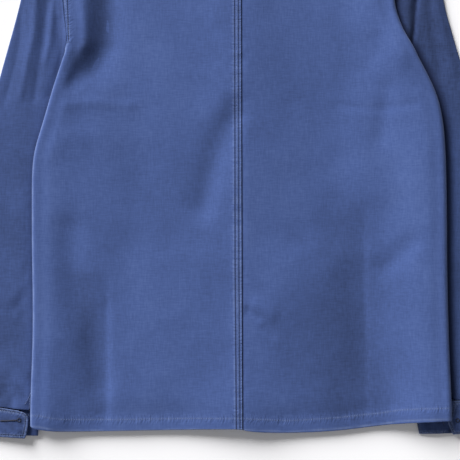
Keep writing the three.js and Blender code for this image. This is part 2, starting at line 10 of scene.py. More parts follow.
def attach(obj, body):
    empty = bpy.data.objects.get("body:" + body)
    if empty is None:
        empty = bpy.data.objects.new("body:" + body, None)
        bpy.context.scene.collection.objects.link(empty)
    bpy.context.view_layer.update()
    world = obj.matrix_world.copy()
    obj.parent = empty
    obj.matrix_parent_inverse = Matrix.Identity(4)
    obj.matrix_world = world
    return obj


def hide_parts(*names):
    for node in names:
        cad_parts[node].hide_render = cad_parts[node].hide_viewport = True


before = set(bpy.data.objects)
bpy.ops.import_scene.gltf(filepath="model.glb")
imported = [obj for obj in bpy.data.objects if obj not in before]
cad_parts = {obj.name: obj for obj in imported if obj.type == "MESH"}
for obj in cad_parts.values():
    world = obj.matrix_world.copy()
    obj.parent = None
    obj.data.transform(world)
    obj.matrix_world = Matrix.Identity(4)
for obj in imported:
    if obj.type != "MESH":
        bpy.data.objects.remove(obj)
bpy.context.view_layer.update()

mm = 0.001
random.seed(11)

# Places are in millimetres from the middle of the back hem: x to the wearer's right, y to the collar.
lay = {
    "hemY": -348.7,  # the hem's middle in the frame
    "photoX": -9.6,  # the middle of the photographed stretch
    "photoY": 238.8,
    "photoWide": 552.0,  # width of cloth that the picture shows
}


def place(x, y, z=0.0):
    return Vector((x, y + lay["hemY"], z)) * mm


camera = {"lens": 85.0, "sensor": 36.0, "clothZ": 9.0, "clip": 0.05}


def makeCamera():
    data = bpy.data.cameras.new("above")
    data.lens = camera["lens"]
    data.sensor_width = camera["sensor"]
    data.clip_start = camera["clip"]
    cam = bpy.data.objects.new("above", data)
    bpy.context.scene.collection.objects.link(cam)
    away = lay["photoWide"] / 2 / (camera["sensor"] / 2 / camera["lens"])
    cam.location = place(lay["photoX"], lay["photoY"], camera["clothZ"] + away)
    bpy.context.scene.camera = cam


studio = {
    "floor": (0.95, 0.945, 0.965),
    "ambient": 0.18,
    "tableHalf": 4,
    "lampAway": 2,
    # side counts in degrees from the collar's side towards the right sleeve, up from the table
    "lights": {
        "window": {"strength": 6.8, "up": 21.5, "side": -38.0, "spread": 36.0},
        "bounce": {"strength": 0.35, "up": 48.0, "side": -150.0, "spread": 80.0},
    },
}


def makeStudio():
    world = bpy.data.worlds.new("studio")
    world.use_nodes = True
    world.node_tree.nodes["Background"].inputs["Color"].default_value = (1, 1, 1, 1)
    world.node_tree.nodes["Background"].inputs["Strength"].default_value = studio["ambient"]
    bpy.context.scene.world = world
    for name, plan in studio["lights"].items():
        light = bpy.data.lights.new(name, "SUN")
        light.energy = plan["strength"]
        light.angle = math.radians(plan["spread"])
        lamp = bpy.data.objects.new(name, light)
        up, side = math.radians(plan["up"]), math.radians(plan["side"])
        flat = math.cos(up)
        towards = Vector((math.sin(side) * flat, math.cos(side) * flat, math.sin(up)))
        lamp.rotation_mode = "QUATERNION"
        lamp.rotation_quaternion = towards.to_track_quat("Z", "Y")
        lamp.location = towards * studio["lampAway"]
        bpy.context.scene.collection.objects.link(lamp)
    bm = bmesh.new()
    bmesh.ops.create_grid(bm, x_segments=1, y_segments=1, size=studio["tableHalf"])
    mesh = bpy.data.meshes.new("table")
    bm.to_mesh(mesh)
    bm.free()
    floor = bpy.data.objects.new("table", mesh)
    bpy.context.scene.collection.objects.link(floor)
    paper = bpy.data.materials.new("paper")
    paper.use_nodes = True
    shader = paper.node_tree.nodes["Principled BSDF"]
    shader.inputs["Base Color"].default_value = (*studio["floor"], 1)
    shader.inputs["Roughness"].default_value = 1.0
    shader.inputs["Specular IOR Level"].default_value = 0.0
    mesh.materials.append(paper)
    bpy.context.scene.view_settings.view_transform = "Standard"


# Soft folds of the back: lines of points with the width and height of the fold across them.
backFolds = [
    {"line": [(-157, 560), (-156, 515), (-158, 462), (-172, 436), (-198, 420)], "wide": 11, "high": -3.6},
    {"line": [(-186, 560), (-184, 500), (-186, 460)], "wide": 7, "high": 1.9},
    {"line": [(-201, 240), (-198, 182), (-190, 147), (-177, 121), (-172, 85), (-165, 58)],
     "wide": 12, "high": -2.1},
    {"line": [(-2, 378), (-22, 350), (-34, 306), (-42, 266)], "wide": 11, "high": -2.4},
    {"line": [(180, 409), (171, 351)], "wide": 8, "high": -1.5},
    {"line": [(208, 224), (176, 192)], "wide": 9, "high": -1.5},
    {"line": [(200, 452), (160, 480), (150, 540)], "wide": 13, "high": 1.3},
    {"line": [(168, 470), (185, 440), (212, 415)], "wide": 9, "high": -0.9},
    {"line": [(12, 143), (25, 133)], "wide": 3, "high": -1.3},
    {"line": [(22, 150), (40, 138)], "wide": 5, "high": 1.2},
    {"line": [(31, 123), (41, 112)], "wide": 3, "high": -1.2},
    {"line": [(-34, 176), (-29, 168)], "wide": 2.6, "high": -0.4},
    {"line": [(-208, 388), (-170, 392), (-126, 388)], "wide": 4, "high": 0.6},
    {"line": [(122, 388), (170, 384), (212, 390)], "wide": 4, "high": -0.5},
    {"line": [(-236, 330), (-205, 350), (-170, 352)], "wide": 10, "high": 0.8},
    {"line": [(158, 240), (158, 40)], "wide": 32, "high": -2.2},
    {"line": [(212, 330), (214, 60)], "wide": 17, "high": 0.7},
    {"line": [(60, 400), (56, 120)], "wide": 32, "high": 0.7},
    {"line": [(-95, 420), (-100, 120)], "wide": 34, "high": 0.7},
    {"line": [(-120, 250), (-60, 235)], "wide": 16, "high": 0.5},
    {"line": [(60, 300), (120, 318)], "wide": 14, "high": -0.5},
]

# Storage creases: the cloth sinks slowly to one side of the line and rises sharply past it.
backCreases = [
    {"x0": -156.5, "y0": 165, "x1": -157.5, "y1": 8, "run": 15, "rise": 2.4, "high": -1.9},
    {"x0": 152, "y0": 250, "x1": 155, "y1": 12, "run": 20, "rise": 3.4, "high": -1.2},
]

sleeveFolds = {
    -1: [
        {"line": [(-242, 530), (-246, 473), (-252, 449), (-262, 401)], "wide": 3.5, "high": 1.6},
        {"line": [(-229, 515), (-235, 467), (-240, 437), (-246, 395)], "wide": 3.5, "high": -1.4},
        {"line": [(-222, 515), (-226, 467), (-232, 443)], "wide": 3, "high": 1.2},
        {"line": [(-214, 491), (-210, 455), (-218, 425), (-228, 400)], "wide": 3.5, "high": -1.2},
        {"line": [(-262, 505), (-262, 473), (-268, 440), (-280, 396)], "wide": 3, "high": -0.9},
        {"line": [(-256, 170), (-262, 155), (-272, 143)], "wide": 4, "high": -0.8},
        {"line": [(-250, 182), (-258, 168), (-270, 158)], "wide": 4, "high": 0.6},
        {"line": [(-262, 148), (-258, 138), (-262, 128)], "wide": 4, "high": -0.7},
        {"line": [(-248, 48), (-252, 38), (-257, 29)], "wide": 2.5, "high": 0.8},
        {"line": [(-258, 300), (-262, 250), (-260, 200)], "wide": 8, "high": 0.7},
    ],
    1: [
        {"line": [(208, 540), (202, 500), (206, 465)], "wide": 5, "high": 1.8},
        {"line": [(214, 515), (212, 480), (209, 460)], "wide": 2.6, "high": -2.0},
        {"line": [(230, 515), (236, 470), (244, 425)], "wide": 4, "high": -1.0},
        {"line": [(240, 515), (250, 470), (260, 430)], "wide": 4, "high": 0.8},
        {"line": [(262, 330), (264, 250), (262, 180)], "wide": 7, "high": 0.6},
    ],
}

# Where the sewing runs, as lines of points; each piece takes its own.
sewing = {
    "hemLeft": [(-252, 17), (-238, 16.6), (-223, 13.4), (-208, 11.4), (-148, 10.8), (-46, 12.8), (3, 13.2)],
    "hemRight": [(4, 13.2), (62, 9.8), (122, 13.2), (170, 18.6), (194, 23.0), (218, 25.4), (254, 26.6)],
    "centreGroove": [(-3.8, 680), (-3.6, 500), (-3.1, 200), (-1.6, 0)],
    "centreRow": [(0.9, 680), (1.0, 500), (1.5, 200), (2.9, 0)],
    "armholeNear": [(-226, 646), (-213, 540), (-209.6, 515), (-206.5, 480), (-204.4, 462)],
    "armholeFar": [(-220.5, 646), (-207.6, 540), (-204.2, 515), (-202.8, 480), (-202.4, 466)],
    "cuffLeft": [(-371, 34.0), (-262, 19.2), (-254.5, 15.5), (-254.3, 6), (-257.5, -8.6), (-371, -3.4)],
    "cuffRight": [(371, 33.6), (260.5, 31.0), (255, 9), (259.5, -5.4), (371, -2.4)],
    "cuffUnder": [(250, -4.6), (219.6, -5.0), (216.6, 8)],
    "vent": [(-249.4, 43), (-252.5, 35), (-257, 27.6)],
    "ventUnder": [(-250.2, 37), (-250.6, 28), (-251.4, 21.5)],
    "holeLeft": [(-286, 9.4), (-264.6, 10.6)],
    "holeRight": [(265.6, 9.9), (287, 9.4)],
    "frontEdge": [(17.4, 2), (17.4, 612)],
    "frontInner": [(-14.5, 2), (-14.5, 612)],
    "collarEdge": [(-101, 679), (-83, 661.5), (-60, 655), (-31, 652.5), (0, 652), (31, 652.5), (60, 655),
                   (83, 661.5), (101, 679)],
    "frontHemLeft": [(-236, 10.5), (-60, 13.5), (16, 11)],
    "frontHemRight": [(22, 11), (60, 9.5), (236, 24)],
}
wholeHem = sewing["hemLeft"] + sewing["hemRight"]


def smoothStep(low, high, value):
    share = np.clip((value - low) / (high - low), 0, 1)
    return share * share * (3 - 2 * share)


def circleOf(x, y, radius, steps=14):
    turns = [2 * math.pi * k / steps for k in range(steps + 1)]
    return [(x + radius * math.cos(a), y + radius * math.sin(a)) for a in turns]


# Distance from a line of points and how far along it the nearest place is.
def fromLine(points, x, y):
    best = np.full(x.shape, np.inf)
    run = np.zeros(x.shape)
    done = 0.0
    for (x0, y0), (x1, y1) in zip(points, points[1:]):
        dx, dy = x1 - x0, y1 - y0
        length = math.hypot(dx, dy)
        share = np.clip(((x - x0) * dx + (y - y0) * dy) / length ** 2, 0, 1)
        away = np.hypot(x - x0 - dx * share, y - y0 - dy * share)
        run = np.where(away < best, done + share * length, run)
        best = np.minimum(best, away)
        done += length
    return best, run


def foldHeight(folds, x, y):
    total = np.zeros(x.shape)
    for fold in folds:
        away = fromLine(fold["line"], x, y)[0]
        total += fold["high"] * np.exp(-0.5 * (away / fold["wide"]) ** 2)
    return total


# How far past its ends a crease dies out.
creaseEnds = {"belowFoot": 12, "aboveFoot": 14, "aroundHead": 30}


def creaseHeight(creases, x, y):
    total = np.zeros(x.shape)
    for crease in creases:
        along = np.clip((y - crease["y1"]) / (crease["y0"] - crease["y1"]), 0, 1)
        across = x - (crease["x1"] + (crease["x0"] - crease["x1"]) * along)
        sink = np.exp(-np.abs(across) / np.where(across < 0, crease["run"], crease["rise"]))
        foot, head = crease["y1"], crease["y0"]
        ends = smoothStep(foot - creaseEnds["belowFoot"], foot + creaseEnds["aboveFoot"], y)
        ends *= smoothStep(head + creaseEnds["aroundHead"], head - creaseEnds["aroundHead"], y)
        total += crease["high"] * sink * ends
    return total


def softNoise(x, y, scale, seed):
    return np.array([noise.noise(Vector((a / scale, b / scale, seed))) for a, b in zip(x, y)])


# Corners nearer than the weld, in mm, become one, and triangles within these angles join in pairs.
joining = {"weld": 0.02, "face": 1.0, "shape": 3.1}


def meshCopy(node):
    bm = bmesh.new()
    bm.from_mesh(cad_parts[node].data)
    bmesh.ops.remove_doubles(bm, verts=bm.verts, dist=joining["weld"] * mm)
    bmesh.ops.join_triangles(bm, faces=bm.faces, angle_face_threshold=joining["face"],
                             angle_shape_threshold=joining["shape"])
    return bm


def pieceOf(bm, name):
    mesh = bpy.data.meshes.new(name)
    bm.to_mesh(mesh)
    bm.free()
    piece = bpy.data.objects.new(name, mesh)
    bpy.context.scene.collection.objects.link(piece)
    return piece


keptEdges = {"angle": 0.9, "share": 0.75}  # sharper edges than this stay crisp


def refined(bm, name, levels):
    layer = bm.edges.layers.float.get("crease_edge") or bm.edges.layers.float.new("crease_edge")
    for edge in bm.edges:
        if len(edge.link_faces) == 2 and edge.calc_face_angle(0) > keptEdges["angle"]:
            edge[layer] = keptEdges["share"]
    piece = pieceOf(bm, name)
    finer = piece.modifiers.new("finer", "SUBSURF")
    finer.levels = levels
    finer.render_levels = levels
    finer.boundary_smooth = "PRESERVE_CORNERS"
    bpy.context.view_layer.update()
    shaped = bpy.data.meshes.new_from_object(piece.evaluated_get(bpy.context.evaluated_depsgraph_get()))
    piece.modifiers.clear()
    piece.data = shaped
    shaped.name = name
    return piece


def planOf(piece):
    co = np.zeros(len(piece.data.vertices) * 3)
    piece.data.vertices.foreach_get("co", co)
    co = co.reshape(-1, 3) / mm
    co[:, 1] -= lay["hemY"]
    return co


def putPlan(piece, co):
    world = co.copy()
    world[:, 1] += lay["hemY"]
    piece.data.vertices.foreach_set("co", (world * mm).ravel())
    piece.data.update()


def normalsOf(piece):
    flat = np.zeros(len(piece.data.vertices) * 3)
    piece.data.vertex_normals.foreach_get("vector", flat)
    return flat.reshape(-1, 3)


def addMask(piece, name, values):
    layer = piece.data.attributes.new(name, "FLOAT", "POINT")
    layer.data.foreach_set("value", np.asarray(values, dtype=np.float32))


marks = {
    "noSeam": 60.0,  # mm, further than any pucker reaches
    "groove": 1.3,  # mm from a sewn line, where its groove ends
    "seamStep": 700.0,  # keeps the runs of two seams apart
    "rimWearAndSheen": 0.7,
    "rimFrom": 0.82,  # how far up a face looks where the rim's wear and painted sheen begin
    "rimFull": 0.2,
}


# What the cloth's material reads: how far the nearest sewn line is and how far along it, in mm,
# how much it is worn (with a painted sheen on faces turned sideways), its painted shade, and its fading with
# painted shade and light.
def markCloth(piece, seams=(), fadeAndShade=None, paintedShade=None, wear=None):
    co = planOf(piece)
    x, y = co[:, 0], co[:, 1]
    far, run = np.full(x.shape, marks["noSeam"]), np.zeros(x.shape)
    for index, seam in enumerate(seams):
        away, along = fromLine(sewing[seam], x, y)
        if "hem" in seam:
            away = np.maximum(away, marks["groove"])  # a hem puckers but isn't grooved
        run = np.where(away < far, along + marks["seamStep"] * index, run)
        far = np.minimum(far, away)
    # Faces turned sideways are paled as edge wear that is partly a painted sheen.
    facing = np.abs(normalsOf(piece)[:, 2])
    rim = marks["rimWearAndSheen"] * smoothStep(marks["rimFrom"], marks["rimFull"], facing)
    addMask(piece, "seamFar", far)
    addMask(piece, "seamRun", run)
    addMask(piece, "wear", rim if wear is None else np.maximum(rim, wear))
    # painted shade, darkening the colour towards the shade colour
    addMask(piece, "paintedShade", np.zeros(x.shape) if paintedShade is None else paintedShade)
    # fading, together with painted shade and light
    addMask(piece, "fadeAndShade", np.zeros(x.shape) if fadeAndShade is None else fadeAndShade)


# Flat width and length of each sheet in metres, and its area where it isn't a plain rectangle.
flats = {
    "back": {"flat": (0.26, 0.70), "area": 0.172},
    "front": {"flat": (0.28, 0.70), "area": 0.178},
    "sleeve": {"flat": (0.40, 0.62), "area": 0.17},
    "leftCuff": {"flat": (0.27, 0.045), "area": None},
    "rightCuff": {"flat": (0.28, 0.045), "area": None},
    "collar": {"flat": (0.46, 0.09), "area": None},
    "pocket": {"flat": (0.13, 0.17), "area": None},
}


def finishCloth(piece, node, flat, area, restsOn=()):
    for face in piece.data.polygons:
        face.use_smooth = True
    piece.data.materials.clear()
    piece.data.materials.append(bandMaterial if "cuff" in node else clothMaterial)
    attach(piece, "root")
    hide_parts(node)
    print("cloth piece", node, len(piece.data.polygons), "faces")


cotton = {
    "body": (0.056, 0.095, 0.261),
    "worn": (0.21, 0.27, 0.44),
    # colour of the painted shade
    "paintedShadeColour": (0.007, 0.012, 0.045),
    "streak": 1.32,
    "cloud": 1.08,
    "yarnHeight": 0.7,
    "napHeight": 0.3,
    "pucker": 1.1,  # mm that the bump stands for
    "puckerStrength": 0.9,
    "yarnBump": 0.3,  # the same for the yarns
    "yarnStrength": 0.5,
    "seamPale": 0.16,
    # painted shade in a sewn line's groove
    "seamGrooveShade": 0.45,
    "palest": (2.1, 1.9, 1.6),  # times the body colour
    "darkest": 0.35,
    "paleGain": 0.8,
    "darkGain": 0.9,
    "betweenYarns": 0.15,  # wear that shows even between the streaks
}

cottonShine = {
    "Roughness": 0.92,
    "Specular IOR Level": 0.15,
    "Sheen Weight": 0.12,
    "Sheen Roughness": 0.6,
    "Sheen Tint": (0.6, 0.7, 1.0, 1),
}

# Noises in the cotton. A stretch below 1 draws one out along x, y or z; scale is about its marks to a metre.
weaveNoises = {
    "weft": {"stretch": (0.16, 1, 1), "scale": 620.0, "detail": 2},
    "warp": {"stretch": (1, 0.14, 1), "scale": 620.0, "detail": 2},
    "nap": {"stretch": (1, 1, 1), "scale": 1300.0, "detail": 1},
    "patches": {"stretch": (1, 0.7, 1), "scale": 22.0, "detail": 5},
    "washes": {"stretch": (1, 0.5, 1), "scale": 8.0, "detail": 2},
}

puckering = {
    "slant": 0.35,  # mm along the line for each mm away from it
    "across": 0.3,
    "noise": {"stretch": (1, 1, 1), "scale": 0.42, "detail": 2},
    "near": 1.0,  # mm from the line, between which the puckers die out
    "far": 9.0,
    "grooveNear": 0.25,
    "grooveDeep": 0.55,
}


def newGroup(name, inputs, outputs):
    group = bpy.data.node_groups.new(name, "ShaderNodeTree")
    for label, kind in inputs:
        group.interface.new_socket(label, in_out="INPUT", socket_type="NodeSocket" + kind)
    for label, kind in outputs:
        group.interface.new_socket(label, in_out="OUTPUT", socket_type="NodeSocket" + kind)
    return group, group.nodes.new("NodeGroupInput"), group.nodes.new("NodeGroupOutput")


def noiseNode(tree, source, stretch, scale, detail):
    mapping = tree.nodes.new("ShaderNodeMapping")
    mapping.inputs["Scale"].default_value = stretch
    tree.links.new(source, mapping.inputs["Vector"])
    texture = tree.nodes.new("ShaderNodeTexNoise")
    texture.inputs["Scale"].default_value = scale
    texture.inputs["Detail"].default_value = detail
    tree.links.new(mapping.outputs["Vector"], texture.inputs["Vector"])
    return texture.outputs["Fac"]


def mathNode(tree, kind, a, b, c=None):
    node = tree.nodes.new("ShaderNodeMath")
    node.operation = kind
    for socket, value in zip(node.inputs, (a, b, c)):
        if value is None:
            continue
        if isinstance(value, (int, float)):
            socket.default_value = value
        else:
            tree.links.new(value, socket)
    return node.outputs[0]


# A share that goes from 1 to 0 as the value goes from near to far.
def fadeOut(tree, value, near, far):
    node = tree.nodes.new("ShaderNodeMapRange")
    node.interpolation_type = "SMOOTHSTEP"
    tree.links.new(value, node.inputs["Value"])
    node.inputs["From Min"].default_value = near
    node.inputs["From Max"].default_value = far
    node.inputs["To Min"].default_value = 1.0
    node.inputs["To Max"].default_value = 0.0
    return node.outputs["Result"]


def mixColour(tree, share, low, high):
    node = tree.nodes.new("ShaderNodeMix")
    node.data_type = "RGBA"
    for label, value in (("Factor", share), ("A", low), ("B", high)):
        socket = [s for s in node.inputs if s.name == label and s.enabled][0]
        if isinstance(value, tuple):
            socket.default_value = (*value, 1)
        elif isinstance(value, (int, float)):
            socket.default_value = value
        else:
            tree.links.new(value, socket)
    return [s for s in node.outputs if s.enabled][0]


def attributeOf(tree, name):
    node = tree.nodes.new("ShaderNodeAttribute")
    node.attribute_name = name
    return node.outputs["Fac"]


# Yarns and nap of the cotton: streaks along both yarns and soft clouds, about 0.5 in the middle.
def makeYarns():
    group, start, end = newGroup(
        "cotton yarns", [("Vector", "Vector")],
        [("Streak", "Float"), ("Cloud", "Float"), ("Height", "Float")])
    spot = start.outputs["Vector"]
    noises = {name: noiseNode(group, spot, **plan) for name, plan in weaveNoises.items()}
    clouds = mathNode(group, "MULTIPLY", mathNode(group, "ADD", noises["patches"], noises["washes"]), 0.5)
    streak = mathNode(group, "MULTIPLY", mathNode(group, "ADD", noises["weft"], noises["warp"]), 0.5)
    group.links.new(streak, end.inputs["Streak"])
    group.links.new(clouds, end.inputs["Cloud"])
    nap = mathNode(group, "MULTIPLY", noises["nap"], cotton["napHeight"])
    height = mathNode(group, "MULTIPLY_ADD", streak, cotton["yarnHeight"], nap)
    group.links.new(height, end.inputs["Height"])
    return group


# Puckers square to a sewn line and the groove of the line itself, whose darkening is painted shade.
def makePuckers():
    group, start, end = newGroup(
        "sewn line", [("Far", "Float"), ("Run", "Float")],
        [("Height", "Float"), ("Light", "Float"), ("Dark", "Float")])
    far, run = start.outputs["Far"], start.outputs["Run"]
    spot = group.nodes.new("ShaderNodeCombineXYZ")
    group.links.new(mathNode(group, "MULTIPLY_ADD", far, puckering["slant"], run), spot.inputs["X"])
    group.links.new(mathNode(group, "MULTIPLY", far, puckering["across"]), spot.inputs["Y"])
    tight = noiseNode(group, spot.outputs[0], **puckering["noise"])
    near = fadeOut(group, far, puckering["near"], puckering["far"])
    swell = mathNode(group, "MULTIPLY", mathNode(group, "SUBTRACT", tight, 0.5), near)
    groove = fadeOut(group, far, puckering["grooveNear"], marks["groove"])
    sunken = mathNode(group, "MULTIPLY", groove, puckering["grooveDeep"])
    height = mathNode(group, "SUBTRACT", swell, sunken)
    ridge = mathNode(group, "MULTIPLY", mathNode(group, "SUBTRACT", near, groove), tight)
    group.links.new(height, end.inputs["Height"])
    group.links.new(ridge, end.inputs["Light"])
    group.links.new(groove, end.inputs["Dark"])
    return group


yarns = makeYarns()
puckers = makePuckers()


def makeCloth(name, shade):
    material = bpy.data.materials.new(name)
    material.use_nodes = True
    tree = material.node_tree
    shader = tree.nodes["Principled BSDF"]
    coordinates = tree.nodes.new("ShaderNodeTexCoord")
    weave = tree.nodes.new("ShaderNodeGroup")
    weave.node_tree = yarns
    tree.links.new(coordinates.outputs["Object"], weave.inputs["Vector"])
    sewn = tree.nodes.new("ShaderNodeGroup")
    sewn.node_tree = puckers
    tree.links.new(attributeOf(tree, "seamFar"), sewn.inputs["Far"])
    tree.links.new(attributeOf(tree, "seamRun"), sewn.inputs["Run"])
    body = tuple(c * shade for c in cotton["body"])
    streak = mathNode(tree, "SUBTRACT", weave.outputs["Streak"], 0.5)
    cloud = mathNode(tree, "SUBTRACT", weave.outputs["Cloud"], 0.5)
    swing = mathNode(tree, "ADD", mathNode(tree, "MULTIPLY", streak, cotton["streak"]),
                     mathNode(tree, "MULTIPLY", cloud, cotton["cloud"]))
    # the fade mask adds fading along with painted shade in folds and painted light on ridges
    paler = mathNode(tree, "ADD", swing, attributeOf(tree, "fadeAndShade"))
    paler = mathNode(tree, "MULTIPLY_ADD", sewn.outputs["Light"], cotton["seamPale"], paler)
    # painted shade in the groove of a sewn line
    paler = mathNode(tree, "MULTIPLY_ADD", sewn.outputs["Dark"], -cotton["seamGrooveShade"], paler)
    palest = tuple(c * s for c, s in zip(body, cotton["palest"]))
    darkest = tuple(c * cotton["darkest"] for c in body)
    light = mixColour(tree, mathNode(tree, "MULTIPLY", paler, cotton["paleGain"]), body, palest)
    dark = mixColour(tree, mathNode(tree, "MULTIPLY", paler, -cotton["darkGain"]), light, darkest)
    # wear, partly a painted sheen where faces turn sideways
    rubbed = mathNode(tree, "MULTIPLY", attributeOf(tree, "wear"),
                      mathNode(tree, "ADD", weave.outputs["Streak"], cotton["betweenYarns"]))
    worn = mixColour(tree, rubbed, dark, cotton["worn"])
    # painted shade: the shadows of edges and the shade of grooves and creases
    paintedShade = mixColour(tree, attributeOf(tree, "paintedShade"), worn, cotton["paintedShadeColour"])
    tree.links.new(paintedShade, shader.inputs["Base Color"])
    fine = tree.nodes.new("ShaderNodeBump")
    fine.inputs["Strength"].default_value = cotton["yarnStrength"]
    fine.inputs["Distance"].default_value = cotton["yarnBump"] * mm
    tree.links.new(weave.outputs["Height"], fine.inputs["Height"])
    coarse = tree.nodes.new("ShaderNodeBump")
    coarse.inputs["Strength"].default_value = cotton["puckerStrength"]
    coarse.inputs["Distance"].default_value = cotton["pucker"] * mm
    tree.links.new(sewn.outputs["Height"], coarse.inputs["Height"])
    tree.links.new(fine.outputs["Normal"], coarse.inputs["Normal"])
    tree.links.new(coarse.outputs["Normal"], shader.inputs["Normal"])
    for label, value in cottonShine.items():
        shader.inputs[label].default_value = value
    return material


clothMaterial = makeCloth("brushed cotton", shade=1.0)
bandMaterial = makeCloth("cuff cotton", shade=0.82)

# Broad paler and darker places on the back: partly the washed cloth's fading, partly painted shade along the
# troughs of its folds and painted light along their ridges.
fadesAndFoldShade = [
    {"line": [(136, 235), (136, 30)], "wide": 30, "high": -0.42},
    {"line": [(216, 330), (214, 40)], "wide": 18, "high": 0.10},
    {"line": [(-135, 330), (-80, 40)], "wide": 60, "high": 0.05},
    {"line": [(-166, 540), (-166, 468), (-190, 442)], "wide": 12, "high": -0.55},
    {"line": [(-186, 180), (-171, 20)], "wide": 12, "high": -0.42},
    {"line": [(-10, 384), (-28, 356), (-44, 290)], "wide": 11, "high": -0.24},
    {"line": [(90, 120), (180, 20)], "wide": 60, "high": -0.20},
    {"line": [(-100, 300), (-30, 190)], "wide": 30, "high": -0.10},
    {"line": [(30, 560), (200, 540)], "wide": 60, "high": 0.06},
    {"line": [(-120, 540), (-30, 540)], "wide": 50, "high": -0.10},
    {"line": [(-228, 330), (-232, 120)], "wide": 10, "high": 0.14},
    {"line": [(-150, 24), (240, 40)], "wide": 16, "high": 0.05},
]

back = {
    "lift": 0.9,
    "reliefFrom": 10.0,  # in from the side edge
    "reliefFull": 24.0,
    "swell": 0.8,  # soft unevenness over a hand's breadth
    "swellScale": 70.0,
    "ripple": 0.3,  # the same over a finger's breadth
    "rippleScale": 24.0,
    "seamWave": 0.5,
    "seamStretch": 0.5,
    "seamScale": 8.0,
    "seamReach": 10.0,
    "hemWave": 0.45,
    "hemSlant": 0.5,  # the roping slants across the hem
    "hemStretch": 0.3,
    "hemScale": 7.0,
    "hemReach": 7.0,
    "hemPale": 0.34,
    "hemPaleWide": 1.3,
    "armholeLap": 2.6,
    "armholeSink": 0.5,
    "lapFrom": 450.0,  # up the armhole
    "lapFull": 466.0,
    "lapReach": 14.0,
    "bandEdge": 3.75,  # where the felled band ends in the CAD, beside the centre
    "bandSpread": 7.0,
    # painted shadow along the felled band's edge
    "bandEdgeShadow": 0.9,
    "bandLine": 0.9,
    "bandNear": (0.5, 0.1),  # mm from the band's edge between which its painted shadow darkens it
    "outsideFrom": 2.0,  # heights that tell the back's outer face from its inner one
    "outsideFull": 6.0,
}

# The worn line just inside the body's outline.
wornEdge = {
    "pale": 0.5,
    "sideIn": 1.5,
    "sideWide": 1.0,
    "sideTop": 640.0,
    "hemBelow": 13.2,  # under the hem's stitches
    "hemWide": 1.2,
    "hemTop": 30.0,
    "middle": 0.75,
    "rate": 0.21,
    "shownFrom": 4.0,  # heights
    "shownFull": 6.0,
}

# Bands of the felled seam, counted to the right from its groove: pale worn ridges and painted shade in its
# stitch grooves.
seamBands = [
    {"at": -2.3, "wide": 0.9, "wear": 0.44, "paintedShade": 0.0},
    {"at": 0.0, "wide": 0.65, "wear": 0.0, "paintedShade": 0.62},
    {"at": 2.1, "wide": 1.2, "wear": 0.42, "paintedShade": 0.0},
    {"at": 4.6, "wide": 0.5, "wear": 0.0, "paintedShade": 0.08},
    {"at": 6.2, "wide": 0.7, "wear": 0.60, "paintedShade": 0.0},
]


# The seam drifts to the right towards the hem: heights and how far it has moved there.
centreDrift = {"y": [0, 150, 300, 515, 680], "x": [2.1, 1.5, 0.9, 0.2, 0.0]}


def centreShift(y):
    return np.interp(y, centreDrift["y"], centreDrift["x"])


# Sewing wears unevenly along its run, about a middle share.
def uneven(run, middle, quick, slow, shift):
    return middle + (1 - middle) * np.sin(run * quick) * np.sin(run * slow + shift)


def hemWear(x, y):
    far, run = fromLine(wholeHem, x, y)
    rubbed = uneven(run, middle=0.6, quick=0.9, slow=0.37, shift=2)
    return back["hemPale"] * rubbed * np.exp(-((far / back["hemPaleWide"]) ** 2))


edgeSteps = 90


# How far out from the centre a piece reaches at each height.
def outerOf(co):
    y = co[:, 1]
    steps = np.linspace(y.min(), y.max(), edgeSteps)
    bins = np.clip(np.digitize(y, steps) - 1, 0, len(steps) - 2)
    reach = np.array([np.abs(co[bins == i, 0]).max(initial=0) for i in range(len(steps) - 1)])
    full = reach > 0
    middles = (steps[:-1] + steps[1:]) / 2
    return lambda at: np.interp(at, middles[full], reach[full])


bodyEdges = {}


def edgeWear(x, y, z, side):
    inFromSide = bodyEdges[side](y) - np.abs(x)
    underHem = (y < wornEdge["hemTop"]) & (y < np.interp(x, *zip(*wholeHem)))
    below = fromLine(wholeHem, x, y)[0] * underHem
    shown = smoothStep(wornEdge["shownFrom"], wornEdge["shownFull"], z)
    bySide = (inFromSide - wornEdge["sideIn"]) / wornEdge["sideWide"]
    byHem = (below - wornEdge["hemBelow"]) / wornEdge["hemWide"]
    line = np.exp(-(bySide ** 2)) * (y < wornEdge["sideTop"]) + np.exp(-(byHem ** 2))
    patchy = wornEdge["middle"] + (1 - wornEdge["middle"]) * np.sin(wornEdge["rate"] * (x + y))
    return wornEdge["pale"] * line * shown * patchy


